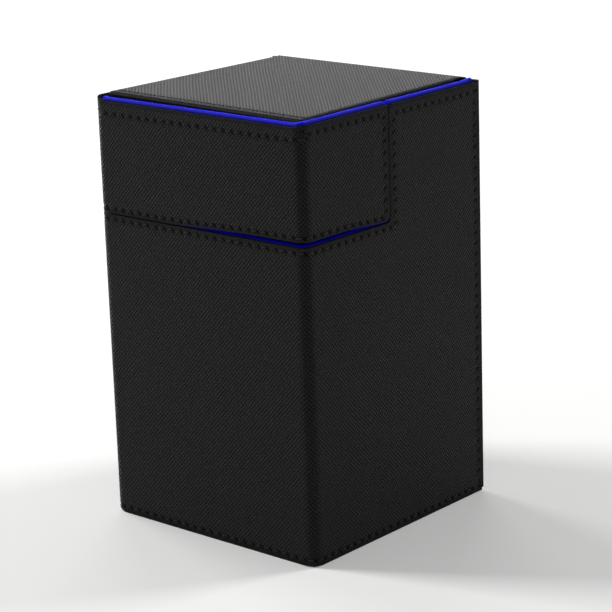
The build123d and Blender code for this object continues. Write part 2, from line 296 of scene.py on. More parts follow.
def chipboard(name, dark, light):
    """Chipboard, grey or dyed black: pulped paper pressed in layers, with specks and short fibres."""
    material, surface = new_material(name)
    fibre = 1.1 * MM
    place = add(material, "TexCoord", {})["Object"]
    fibres = add(material, "TexNoise",
                 {"Scale": 1 / fibre, "Detail": 6.0, "Distortion": 2.0, "Vector": place})["Fac"]
    colour = add(material, "Mix", {0: fibres, 6: linear(dark), 7: linear(light)}, data_type="RGBA")[2]
    bump = add(material, "Bump", {"Strength": 0.5, "Distance": 0.1 * MM, "Height": fibres})[0]
    feed(material, surface, {"IOR": 1.45, "Roughness": 0.9, "Base Color": colour, "Normal": bump})
    return material


def plated_magnet(name):
    """Sintered neodymium bar under bright nickel plate, with the faint orange peel of tumbling."""
    material, surface = new_material(name)
    ripple = 0.8 * MM
    place = add(material, "TexCoord", {})["Object"]
    peel = add(material, "TexNoise", {"Scale": 1 / ripple, "Detail": 2.0, "Vector": place})["Fac"]
    bump = add(material, "Bump", {"Strength": 0.2, "Distance": 0.05 * MM, "Height": peel})[0]
    feed(material, surface, {"Metallic": 1.0, "Roughness": 0.22, "Base Color": linear("#c9c6c0"),
                             "Normal": bump})
    return material


def smooth_leatherette(name, high_colour, low_colour):
    """Polyurethane leatherette with a fine pebbled grain, used on the tray."""
    material, surface = new_material(name)
    pebble = 0.7 * MM
    place = add(material, "TexCoord", {})["Object"]
    valleys = add(material, "TexVoronoi", {"Scale": 1 / pebble, "Vector": place})["Distance"]
    colour = add(material, "Mix", {0: valleys, 6: linear(high_colour), 7: linear(low_colour)},
                 data_type="RGBA")[2]
    bump = add(material, "Bump", {"Strength": 0.6, "Distance": 0.08 * MM, "Height": valleys},
               invert=True)[0]
    feed(material, surface, {"IOR": 1.5, "Roughness": 0.5, "Specular IOR Level": 0.2, "Base Color": colour,
                             "Normal": bump})
    return material


def paper_floor(name):
    """A seamless roll of matt white paper."""
    material, surface = new_material(name)
    feed(material, surface, {"Roughness": 0.95, "Base Color": linear("#fbfbfa"), "Emission Strength": 0.06,
                             "Emission Color": linear("#ffffff")})
    return material


# ---------------------------------------------------------------- making sheets

def lines(stops, cell=CELL):
    """Places of the ruled lines between the given stops, no further apart than a cell."""
    places = [stops[0]]
    for low, high in zip(stops, stops[1:]):
        count = max(1, math.ceil((high - low) / cell - 1e-6))
        places += [low + (high - low) * number / count for number in range(1, count + 1)]
    return places


def whole(u, v):
    """Keeps every cell of a sheet."""
    return True


def amid(u, v):
    """As far from an edge as the middle of a sheet, for a sheet whose edges aren't pressed."""
    return AMID


def pick(piece):
    """Selects one piece alone, and makes it the active one."""
    bpy.ops.object.select_all(action="DESELECT")
    piece.select_set(True)
    bpy.context.view_layer.objects.active = piece


def select_faces(piece, wanted):
    """Selects the faces that are wanted, and nothing else, ready for edit mode."""
    mesh = piece.data
    mesh.vertices.foreach_set("select", [False] * len(mesh.vertices))
    mesh.edges.foreach_set("select", [False] * len(mesh.edges))
    bpy.context.tool_settings.mesh_select_mode = (False, False, True)
    for face in mesh.polygons:
        face.select = wanted(face)


def flat_sheet(name, across, up, keep):
    """A sheet ruled along the given lines and cut to the cells that are kept."""
    bpy.ops.object.select_all(action="DESELECT")
    bpy.ops.mesh.primitive_grid_add(x_subdivisions=len(across) - 1, y_subdivisions=len(up) - 1, size=1.0)
    piece = bpy.context.object
    piece.name = name
    mesh = piece.data
    for number, vertex in enumerate(mesh.vertices):
        vertex.co = (across[number % len(across)], up[number // len(across)], 0)
    select_faces(piece, lambda face: not keep(face.center.x, face.center.y))
    bpy.ops.object.mode_set(mode="EDIT")
    bpy.ops.mesh.delete(type="FACE")
    bpy.ops.object.mode_set(mode="OBJECT")
    return piece


def round_outer(place, corner, inward, radius):
    """Rounds off an outer corner: cells in its square block are drawn in to an arc."""
    a = 1 - (place[0] - corner[0]) * inward[0] / radius
    b = 1 - (place[1] - corner[1]) * inward[1] / radius
    if not (0 < a <= 1.0001 and 0 < b <= 1.0001):
        return place
    shrink = max(a, b) / math.hypot(a, b)
    return (corner[0] + inward[0] * radius * (1 - a * shrink),
            corner[1] + inward[1] * radius * (1 - b * shrink))


def round_inner(place, corner, outward, radius):
    """Fills an inner corner: cells in the square block beyond it are drawn back to an arc."""
    a = (place[0] - corner[0]) * outward[0] / radius
    b = (place[1] - corner[1]) * outward[1] / radius
    if not (-0.0001 <= a <= 1.0001 and -0.0001 <= b <= 1.0001) or max(a, b) < 1e-6:
        return place
    reach = max(a, b)
    share = min(a, b) / reach
    turn = share * math.pi / 4
    far, near = 1 - math.sin(turn), 1 - math.cos(turn)
    arc = (far, near) if a >= b else (near, far)
    return (corner[0] + outward[0] * radius * reach * arc[0],
            corner[1] + outward[1] * radius * reach * arc[1])


class Seam:
    """A row of stitches along a run of points on the flat sheet."""

    def __init__(self, points):
        places = [Vector(point) for point in points]
        self.points = [a for a, b in zip(places, places[1:]) if (b - a).length > 1e-7] + places[-1:]
        self.runs = [(b - a).length for a, b in zip(self.points, self.points[1:])]
        self.length = sum(self.runs)
        self.count = max(2, round(self.length / STITCH_PITCH))
        self.pitch = self.length / self.count

    def nearest(self, place):
        """How far along the row, in stitches, and how far off it, the sheet's place lies."""
        place = Vector(place)
        best = (0.0, 1.0)
        start = 0.0
        for a, run, b in zip(self.points, self.runs, self.points[1:]):
            way = (b - a) / run
            along = (place - a).dot(way)
            off = way.x * (place - a).y - way.y * (place - a).x
            over = max(0.0, -along, along - run)
            size = math.hypot(off, over)
            if size < abs(best[1]):
                best = ((start + min(max(along, 0), run)) / self.pitch, math.copysign(size, off))
            start += run
        return best

    def at(self, length):
        """The point and direction at a length along the row."""
        for a, run, b in zip(self.points, self.runs, self.points[1:]):
            way = (b - a) / run
            if length <= run:
                return a + way * length, way
            length -= run
        return b, way


def rounded(points, radii):
    """A run of flat places with each inner corner turned into an arc of its radius."""
    run = [Vector(points[0])]
    for before, corner, after, radius in zip(points, points[1:], points[2:], radii):
        corner = Vector(corner)
        arriving = (corner - Vector(before)).normalized()
        leaving = (Vector(after) - corner).normalized()
        turn = math.atan2(arriving.x * leaving.y - arriving.y * leaving.x, arriving.dot(leaving))
        start = corner - arriving * radius * math.tan(abs(turn) / 2)
        centre = start + Vector((-arriving.y, arriving.x)) * math.copysign(radius, turn)
        for step in range(ARC_STEPS + 1):
            run.append(centre + Matrix.Rotation(turn * step / ARC_STEPS, 2) @ (start - centre))
    run.append(Vector(points[-1]))
    return run


def sink(along, off):
    """How far the sheet is drawn in at a seam: deepest at each needle hole."""
    near = max(0.0, 1 - (off / SEAM_REACH) ** 2) ** 2
    return SEAM_DEPTH * near * (0.6 + 0.4 * math.cos(2 * math.pi * along))


def fold_sheet(piece, fold, seams, edges, rounding=(), marks=None):
    """Marks the flat sheet with its edges and seams, and folds each point of it into place.

    The UV map keeps each point's flat place, so the emboss runs on over the folds.
    """
    mesh = piece.data
    marks = marks or {}
    values = {key: [] for key in ["edge", "seam_along", "seam_off"] + list(marks)}
    flat = []
    for vertex in mesh.vertices:
        place = (vertex.co.x, vertex.co.y)
        for turn, corner, side in rounding:
            place = turn(place, corner, side, CUT_CORNER)
        flat.append(place)
        along, off = 0.0, 1.0
        for seam in seams:
            found = seam.nearest(place)
            if abs(found[1]) < abs(off):
                along, off = found
        values["edge"].append(min(edge(*place) for edge in edges))
        values["seam_along"].append(along)
        values["seam_off"].append(off)
        for key, mark in marks.items():
            values[key].append(mark(*place))
        point, normal = fold(*place)
        vertex.co = point - normal * sink(along, off)
    for key, marked in values.items():
        mesh.attributes.new(key, "FLOAT", "POINT").data.foreach_set("value", marked)
    pattern = mesh.uv_layers.active or mesh.uv_layers.new(name="sheet")
    pattern.name = "sheet"
    for loop in mesh.loops:
        pattern.data[loop.index].uv = flat[loop.vertex_index]


def wear_edges(piece, width, segments, angle):
    """Wears the edges that are sharper than an angle round."""
    worn = piece.modifiers.new("worn edge", "BEVEL")
    worn.width = width
    worn.segments = segments
    worn.limit_method = "ANGLE"
    worn.angle_limit = math.radians(angle)
    bpy.ops.object.modifier_apply(modifier=worn.name)


def thicken(piece, thickness, worn_edge=0.0):
    """Gives a folded sheet its thickness on the inside, and wears its cut edges a little."""
    pick(piece)
    bpy.ops.object.mode_set(mode="EDIT")
    bpy.ops.mesh.select_all(action="SELECT")
    bpy.ops.mesh.remove_doubles(threshold=0.02 * MM)
    bpy.ops.object.mode_set(mode="OBJECT")
    wall = piece.modifiers.new("thickness", "SOLIDIFY")
    wall.thickness = thickness
    wall.offset = -1
    wall.use_even_offset = False
    bpy.ops.object.modifier_apply(modifier=wall.name)
    if worn_edge:
        wear_edges(piece, worn_edge, 2, 50)
    bpy.ops.object.shade_smooth_by_angle(angle=math.radians(40))


def finish_piece(piece, material, body, slot, *nodes):
    """Gives a piece its material and body, and hides the nodes that it stands for. The slot is not used."""
    piece.data.materials.clear()
    piece.data.materials.append(material)
    if body:
        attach(piece, body)
    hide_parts(*nodes)


def ease(value, start, end):
    """Eases from 0 to 1 as a value passes from start to end."""
    share = max(0.0, min(1.0, (value - start) / (end - start)))
    return share * share * (3 - 2 * share)


def round_front(along, height):
    """Folds a flat place round the box's front. along is measured from the middle of the front face."""
    side = math.copysign(1, along)
    beyond = abs(along) - FLAT_FRONT
    if beyond <= 0:
        return Vector((along, FRONT_Y, height)), Vector((0, -1, 0))
    if beyond <= BEND_ARC:
        turn = beyond / BEND
        normal = Vector((side * math.sin(turn), -math.cos(turn), 0))
        return Vector((side * FLAT_FRONT, FRONT_Y + BEND, height)) + normal * BEND, normal
    return Vector((side * HALF_WIDTH, FRONT_Y + BEND + beyond - BEND_ARC, height)), Vector((side, 0, 0))


def fold_skirt(along, height):
    """Folds the flap's sheet round the front. Worn in, it hangs at the left, and its top edge waves."""
    low_share = 1 - ease(height, SKIRT_LOW.z, SKIRT_HIGH.z)
    left = ease(along, -FLAT_FRONT - 8.5 * MM, -FLAT_FRONT + 0.5 * MM) * (1 - ease(along, -14 * MM, 20 * MM))
    tail = ease(abs(along), FLAT_FRONT + 20 * MM, FLAT_FRONT + 40 * MM)
    right = ease(along, 12 * MM, 34 * MM) * (1 - tail)
    hang = LEFT_HANG * left + WING_HANG * tail - FRONT_LIFT * right
    front = 1 - ease(abs(along), FLAT_FRONT - 2 * MM, FLAT_FRONT + 4 * MM)
    left_corner = ease(-along, FLAT_FRONT + 0.6 * MM, FLAT_FRONT + 4.6 * MM)
    left_corner *= 1 - ease(-along, FLAT_FRONT + 12 * MM, FLAT_FRONT + 24 * MM)
    rise = TOP_RISE - FRONT_DIP * front + LEFT_CORNER_RISE * left_corner
    return round_front(along, height + (1 - low_share) * rise - low_share * hang)


def flat_length(depth_y):
    """The flat sheet's length from the middle of the front to a place on the side."""
    return FLAT_FRONT + BEND_ARC + depth_y - FRONT_Y - BEND


# ---------------------------------------------------------------- the rolled edges

def roll_over_edge(name, trail, fold, crest, shade, material, body, nodes, rounded_ends=True):
    """A strip of lining rolled over a board's edge, just behind the sheet, along a trail on that sheet.

    crest says how far the roll stands beyond the sheet's edge at each length of the trail, and shade
    how much painted shade darkens it there.
    """
    half_turn = math.pi * ROLL_RADIUS
    stations = [0.0]
    for run in trail.runs:
        stations += lines([stations[-1], stations[-1] + run], 0.9 * MM)[1:]
    over_edge = ROLL_TUCK + half_turn
    around = lines([0, ROLL_TUCK, over_edge, over_edge + ROLL_DROP], 0.34 * MM)
    piece = flat_sheet(name, stations, around, whole)
    step = 0.02 * MM
    place, way = trail.at(0.0)
    start, facing = fold(*place)
    ahead, _ = fold(*(place + way * step))
    upper, _ = fold(*(place + Vector((way.y, -way.x)) * step))
    if (ahead - start).cross(upper - start).dot(facing) < 0:
        turned_over(piece)

    def wrap_over(along, over):
        place, way = trail.at(along)
        _, ahead = trail.at(min(along + step * 20, trail.length - step))
        _, behind = trail.at(max(along - step * 20, 0.0))
        way = (way + ahead + behind).normalized()
        outward = Vector((way.y, -way.x))
        point, normal = fold(*place)
        beyond, _ = fold(*(place + outward * step))
        edge = (beyond - point).normalized()
        radius = ROLL_RADIUS * (1 + 0.03 * math.sin(along / (4.1 * MM)) * math.sin(along / (9.7 * MM)))
        sag = 0.0
        if rounded_ends:
            near_end = min(along, trail.length - along)
            if near_end < radius:
                sag = radius - math.sqrt(max(0.0, radius ** 2 - (radius - near_end) ** 2))
        centre = point - normal * (SHEET + ROLL_RADIUS) + edge * (crest(along) - ROLL_RADIUS - sag)
        if over < ROLL_TUCK:
            return centre + normal * radius - edge * (ROLL_TUCK - over), normal
        angle = (over - ROLL_TUCK) / ROLL_RADIUS
        if angle < math.pi:
            way_out = normal * math.cos(angle) + edge * math.sin(angle)
            return centre + way_out * radius, way_out
        return centre - normal * radius - edge * (over - over_edge), -normal

    def press_and_shade(along, over):
        """Painted shade: the roll's flanks are coloured darker than its crown, and the roll darker still
        where shade marks a recess.
        """
        off_crown = abs(over - ROLL_TUCK - half_turn * 0.4)
        flank = ease(off_crown, 0.05 * half_turn, 0.23 * half_turn)
        return max(flank * 0.85, 0.7 * shade(along))

    fold_sheet(piece, wrap_over, [], [amid], marks={"roll_painted_shade": press_and_shade})
    thicken(piece, LINING)
    finish_piece(piece, material, body, "microfibre", *nodes)


def make_body_roll(material):
    """The lining rolled over the top of the side boards, down the step and along the shelf."""
    rear = flat_length(WRAP_HIGH.y) - 0.2 * MM
    cut = flat_length(CUT_Y) - CLOSE_UP
    high = WRAP_HIGH.z
    points = [(rear, high), (cut, high), (cut, SHELF_Z), (-cut, SHELF_Z), (-cut, high), (-rear, high)]
    trail = Seam(rounded(points, [CUT_CORNER] * 4))
    top_run = rear - cut
    foot = top_run + high - SHELF_Z

    def crest(along):
        top = TOP_CREST if along < trail.length / 2 else LEFT_CREST
        along = min(along, trail.length - along)
        down = ease(along, top_run - 2 * MM, top_run + MM)
        level = ease(along, foot - 4 * MM, foot - MM)
        raised_end = END_RISE * (1 - ease(along, 0, 6 * MM))
        return top + raised_end + down * (STEP_CREST - top) + level * (SHELF_CREST - STEP_CREST)

    # Painted shade: the roll is darkened below its top run, down the step and along the shelf, where it sits
    # in the recess under the flap.
    def shade(along):
        along = min(along, trail.length - along)
        return ease(along, top_run, top_run + 2 * MM)

    roll_over_edge("body_rolled_lining", trail, round_front, crest, shade, material, "box",
                   ["body_edge_roll"])


def make_skirt_roll(material):
    """The lining rolled over all four edges of the flap."""
    rear = flat_length(SKIRT_HIGH.y) + CLOSE_UP
    low, high = SKIRT_LOW.z, SKIRT_HIGH.z
    points = [(0, high), (-rear, high), (-rear, low), (rear, low), (rear, high), (0, high)]
    trail = Seam(rounded(points, [CUT_CORNER * 0.6, CUT_CORNER, CUT_CORNER, CUT_CORNER * 0.6]))

    def crest(along):
        place, _ = trail.at(along)
        upper = ease(place.y, high - 4 * MM, high - 0.5 * MM)
        lower = 1 - ease(place.y, low + 0.5 * MM, low + 4 * MM)
        hidden = ease(-place.x, FLAT_FRONT + 0.6 * MM, FLAT_FRONT + 2.6 * MM)
        hidden *= 1 - ease(-place.x, FLAT_FRONT + 16 * MM, FLAT_FRONT + 24 * MM)
        lip = TOP_CREST - HIDDEN_DROP * hidden
        return STEP_CREST + upper * (lip - STEP_CREST) + lower * (FLAP_CREST - STEP_CREST)

    # Painted shade: the roll is darkened everywhere but along the flap's top edge, which darkens the recess
    # at its lower edge.
    def shade(along):
        place, _ = trail.at(along)
        return 1 - ease(place.y, high - 2 * MM, high)

    roll_over_edge("skirt_rolled_lining", trail, fold_skirt, crest, shade, material, "lid",
                   ["skirt_top_roll", "skirt_bottom_roll"], rounded_ends=False)


def make_back_roll(material):
    """The lining rolled over the back board, low enough to clear the lid's board."""
    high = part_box("back_edge_roll")[1]
    trail = Seam([(high.x, high.z), (-high.x, high.z)])

    def fold_back(across, height):
        return Vector((across, BACK_HIGH.y, height)), Vector((0, 1, 0))

    def level(along):
        return 0.0

    roll_over_edge("back_rolled_lining", trail, fold_back, level, level, material, "box", ["back_edge_roll"])


# ---------------------------------------------------------------- the linings and the tray

def fold_inside(along, height):
    """Folds a flat place round the inner faces of the three walls. The nap faces into the box."""
    turn = BEND - WALL
    side = math.copysign(1, along)
    beyond = abs(along) - FLAT_FRONT
    arc = turn * math.pi / 2
    swell = 0.07 * MM * math.sin(along / (6.3 * MM)) * math.sin(height / (8.9 * MM))
    if beyond <= 0:
        outward = Vector((0, -1, 0))
        point = Vector((along, FRONT_Y + WALL, height))
    elif beyond <= arc:
        angle = beyond / turn
        outward = Vector((side * math.sin(angle), -math.cos(angle), 0))
        point = Vector((side * FLAT_FRONT, FRONT_Y + BEND, height)) + outward * turn
    else:
        outward = Vector((side, 0, 0))
        point = Vector((side * (HALF_WIDTH - WALL), FRONT_Y + BEND + beyond - arc, height))
    return point - outward * swell, -outward


def inner_length(depth_y):
    """The lining's flat length from the middle of the front to a place on the side."""
    return FLAT_FRONT + (BEND - WALL) * math.pi / 2 + depth_y - FRONT_Y - BEND


def turned_over(piece):
    """Turns the sheet's faces over, for a sheet that is seen from its inner side."""
    bpy.ops.object.mode_set(mode="EDIT")
    bpy.ops.mesh.select_all(action="SELECT")
    bpy.ops.mesh.flip_normals()
    bpy.ops.object.mode_set(mode="OBJECT")


def make_wall_lining(name, low, rear, keep, heights, material, body, nodes):
    """One strip of lining folded round the front and both sides."""
    half = [0, FLAT_FRONT, FLAT_FRONT + (BEND - WALL) * math.pi / 2] + rear
    across = lines([-stop for stop in reversed(half[1:])] + half, LINING_CELL)
    piece = flat_sheet(name, across, lines([low] + heights, LINING_CELL), keep)
    turned_over(piece)
    fold_sheet(piece, fold_inside, [], [amid])
    thicken(piece, LINING)
    finish_piece(piece, material, body, "microfibre", *nodes)


def slack(u, v):
    """The slow waves of cloth that is glued down by hand."""
    return 0.06 * MM * math.sin(u / (6.7 * MM)) * math.sin(v / (9.1 * MM))


def make_flat_lining(name, node, facing, material, body):
    """A skin of lining glued flat on a wall or floor, with its nap facing one way."""
    swell = 0.15 * MM
    low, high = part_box(node)
    normal = Vector(facing)
    axis = max(range(3), key=lambda index: abs(facing[index]))
    first, second = [index for index in range(3) if index != axis]
    way = facing[axis] * (1, -1, 1)[axis]
    level = high[axis] if facing[axis] > 0 else low[axis]
    spans = sorted((way * low[first], way * high[first])), (low[second], high[second])

    def lay(u, v):
        point = Vector((0, 0, 0))
        point[axis] = level
        point[first] = way * u
        point[second] = v
        near = min(u - spans[0][0], spans[0][1] - u, v - spans[1][0], spans[1][1] - v)
        return point + normal * (swell * (ease(near, 0, 4 * MM) - 1) + slack(u, v) * (near > MM)), normal

    piece = flat_sheet(name, lines(spans[0], LINING_CELL), lines(spans[1], LINING_CELL), whole)
    fold_sheet(piece, lay, [], [amid])
    thicken(piece, LINING)
    finish_piece(piece, material, body, "microfibre", node)


def make_lid_lining(material):
    """The lining under the lid, turned up over the sides and the stepped rear edge of its boards."""
    low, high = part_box("lid_lining")
    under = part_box("lid_under_board")[1].z
    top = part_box("lid_top_board")[1]
    lap = 0.2 * MM
    side_lap = 0.03 * MM
    step_cell = 1.1 * MM
    rise = under - low.z - lap
    rear = Seam([(high.y + lap, low.z), (high.y + lap, under - lap), (top.y + lap, under - lap),
                 (top.y + lap, top.z - lap)])

    def lay(u, v):
        side = math.copysign(1, u)
        if abs(u) > high.x:
            return Vector((side * (high.x + side_lap), v, low.z + abs(u) - high.x)), Vector((side, 0, 0))
        if v > high.y:
            place, way = rear.at(v - high.y)
            return Vector((u, place.x, place.y)), Vector((0, way.y, -way.x))
        inward = ease(min(high.x - abs(u), v - low.y, high.y - v), 0, 4 * MM)
        pillow = (LID_PILLOW - slack(u, v)) * inward
        return Vector((u, v, low.z + LID_PILLOW * 0.5 - pillow)), Vector((0, 0, -1))

    def keep(u, v):
        return abs(u) < high.x or v < high.y

    across = lines([-high.x - rise, -high.x, high.x, high.x + rise], LINING_CELL)
    up = lines([low.y, high.y, high.y + rear.length], step_cell)
    piece = flat_sheet("lid_inner_lining", across, up, keep)
    turned_over(piece)
    fold_sheet(piece, lay, [], [amid])
    thicken(piece, LINING)
    finish_piece(piece, material, "lid", "microfibre", "lid_lining")


def make_linings(material):
    """All the linings: the box's walls, back and floor, and the inside of the lid."""
    low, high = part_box("right_lining")
    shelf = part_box("front_lining")[1].z
    cut = inner_length(CUT_Y) + 1.2 * MM
    make_wall_lining("box_wall_lining", low.z, [cut, inner_length(high.y)],
                     lambda u, v: v < shelf or abs(u) > cut, [shelf, high.z],
                     material, "box", ["front_lining", "left_lining", "right_lining"])
    low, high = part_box("skirt_lining")
    make_wall_lining("flap_lining", low.z, [inner_length(high.y)], whole, [high.z - LINING * 7],
                     material, "lid", ["skirt_lining"])
    make_flat_lining("back_wall_lining", "back_lining", (0, -1, 0), material, "box")
    make_flat_lining("floor_lining", "base_lining", (0, 0, 1), material, "box")
    make_lid_lining(material)


def soften(name, node, width, material, body, slot):
    """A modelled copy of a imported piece, with its sharp edges worn round."""
    piece = bpy.data.objects.new(name, frame["nodes"][node].data.copy())
    bpy.context.collection.objects.link(piece)
    pick(piece)
    bpy.ops.object.mode_set(mode="EDIT")
    bpy.ops.mesh.select_all(action="SELECT")
    bpy.ops.mesh.remove_doubles(threshold=0.01 * MM)
    bpy.ops.mesh.dissolve_limited(angle_limit=math.radians(2))
    bpy.ops.object.mode_set(mode="OBJECT")
    wear_edges(piece, width, 3, 40)
    bpy.ops.object.shade_smooth_by_angle(angle=math.radians(35))
    finish_piece(piece, material, body, slot, node)


def make_tray(cover, lining):
    """The lift-out tray: its wrapped walls and its soft well."""
    soften("tray_wrap", "tray_cover", EDGE_WEAR, cover, "tray", "smooth_leatherette")
    soften("tray_well_lining", "tray_lining", 0.18 * MM, lining, "tray", "microfibre")


# ---------------------------------------------------------------- the sewn thread

def stitch_shape():
    """One stitch: a short length of twisted thread that dives into the sheet at both ends."""
    bpy.ops.object.select_all(action="DESELECT")
    bpy.ops.mesh.primitive_uv_sphere_add(segments=8, ring_count=8, radius=1.0)
    shape = bpy.context.object
    bpy.ops.object.mode_set(mode="EDIT")
    bpy.ops.mesh.select_all(action="SELECT")
    bpy.ops.transform.rotate(value=math.pi / 2, orient_axis="Y", center_override=(0, 0, 0))
    bpy.ops.object.mode_set(mode="OBJECT")
    for vertex in shape.data.vertices:
        reach = vertex.co.x
        belly = 1 - 0.35 * reach ** 2
        vertex.co = (reach * STITCH_LENGTH / 2, vertex.co.y * THREAD_RADIUS * belly,
                     vertex.co.z * THREAD_RADIUS * belly - 1.1 * THREAD_RADIUS * reach ** 4)
    return shape


def sew(name, rows, material, body, node):
    """Copies the stitch along every row. A row is a seam and the fold of the sheet that it is sewn in."""
    pattern = stitch_shape()
    copies = []
    for seam, fold in rows:
        for number in range(seam.count):
            place, way = seam.at((number + 0.5) * seam.pitch + random.uniform(-0.06, 0.06) * MM)
            point, normal = fold(*place)
            ahead, _ = fold(*(place + way * 0.2 * MM))
            tangent = (ahead - point).normalized()
            turn = Matrix.Rotation(math.radians(STITCH_LEAN + random.uniform(-2, 2)), 3, normal)
            tangent = turn @ tangent
            side = normal.cross(tangent)
            lie = Matrix((tangent, side, normal)).transposed().to_4x4()
            lie.translation = point - normal * SEAM_DEPTH * 0.5
            copy = pattern.copy()
            copy.data = pattern.data.copy()
            bpy.context.collection.objects.link(copy)
            copy.data.transform(lie)
            copies.append(copy)
    bpy.ops.object.select_all(action="DESELECT")
    for copy in copies:
        copy.select_set(True)
    bpy.context.view_layer.objects.active = copies[0]
    bpy.ops.object.join()
    piece = bpy.context.object
    piece.name = name
    bpy.data.objects.remove(pattern)
    piece.data.uv_layers[0].name = "sheet"
    bpy.ops.object.shade_smooth()
    finish_piece(piece, material, body, "sewing_thread", node)


# ---------------------------------------------------------------- the box's covers

def make_wrap(material):
    """The sheet round three sides of the box, stepped down at the front for the flap."""
    rear = flat_length(WRAP_HIGH.y)
    cut = flat_length(CUT_Y) - CLOSE_UP
    low, high = WRAP_LOW.z, WRAP_HIGH.z
    corner = CUT_CORNER
    half = [0, FLAT_FRONT, FLAT_FRONT + BEND_ARC, cut - corner, cut, cut + corner, rear]
    across = lines([-stop for stop in reversed(half[1:])] + half)
    up = lines([low, SHELF_Z - 3 * MM, SHELF_Z, SHELF_Z + corner, high - corner, high])

    def keep(u, v):
        beyond = abs(u) - cut
        return v < SHELF_Z or beyond > 0 or (beyond > -corner and v < SHELF_Z + corner)

    rounding = []
    for side in (-1, 1):
        rounding.append((round_inner, (side * cut, SHELF_Z), (-side, 1)))
        rounding.append((round_outer, (side * cut, high), (side, -1)))
    piece = flat_sheet("wrap_sheet", across, up, keep)
    shelf_row = SHELF_Z - SHELF_ROW_DROP
    cut_row = cut + CUT_ROW_INSET
    top_row = high - SIDE_ROW_DROP
    rear_row = rear + SHEET - REAR_ROW_INSET
    base_row = BASE_ROW_RISE
    cut_seam = Seam([(-rear_row, top_row), (-cut_row, top_row), (-cut_row, shelf_row),
                     (cut_row, shelf_row), (cut_row, top_row), (rear_row, top_row)])
    rear_foot, rear_top = base_row + STITCH_PITCH / 2, top_row - STITCH_PITCH
    rear_seams = [Seam([(side * rear_row, rear_foot), (side * rear_row, rear_top)]) for side in (-1, 1)]
    base_seam = Seam([(-rear_row, base_row), (rear_row, base_row)])
    edges = [
        lambda u, v: v - low + 0.4 * MM,
        lambda u, v: rear - abs(u),
        lambda u, v: SHELF_Z - v if abs(u) < cut else math.hypot(abs(u) - cut, max(0.0, SHELF_Z - v)),
        lambda u, v: high - v,
    ]
    fold_sheet(piece, round_front, [cut_seam, base_seam] + rear_seams, edges, rounding)
    thicken(piece, SHEET, EDGE_WEAR)
    finish_piece(piece, material, "box", "embossed_leatherette", "body_wrap")
    return cut_seam, rear_seams, base_seam


def make_skirt(material):
    """The flap's sheet: the front and two short wings."""
    rear = flat_length(SKIRT_HIGH.y) + CLOSE_UP
    low, high = SKIRT_LOW.z, SKIRT_HIGH.z
    arc_end = FLAT_FRONT + BEND_ARC
    half = [0, FLAT_FRONT, arc_end, rear - CUT_CORNER, rear]
    across = lines([-stop for stop in reversed(half[1:])] + half, CELL * 0.75)
    up = lines([low, low + CUT_CORNER, high], CELL * 0.75)
    piece = flat_sheet("skirt_sheet", across, up, whole)
    rounding = [(round_outer, (side * rear, low), (-side, 1)) for side in (-1, 1)]
    wing_row = rear - WING_ROW_INSET
    low_row = low + FLAP_ROW_RISE
    wing_top = high - WING_ROW_DROP
    front_top = high - FRONT_ROW_DROP
    seam = Seam([(-arc_end, wing_top), (-wing_row, wing_top), (-wing_row, low_row),
                 (wing_row, low_row), (wing_row, wing_top), (arc_end, wing_top)])
    top_seam = Seam([(-arc_end + MM, front_top), (arc_end - MM, front_top)])
    edges = [
        lambda u, v: v - low,
        lambda u, v: high - v,
        lambda u, v: rear - abs(u),
    ]
    fold_sheet(piece, fold_skirt, [seam, top_seam], edges, rounding)
    thicken(piece, SHEET, EDGE_WEAR)
    finish_piece(piece, material, "lid", "embossed_leatherette", "lid_skirt")
    return seam, top_seam


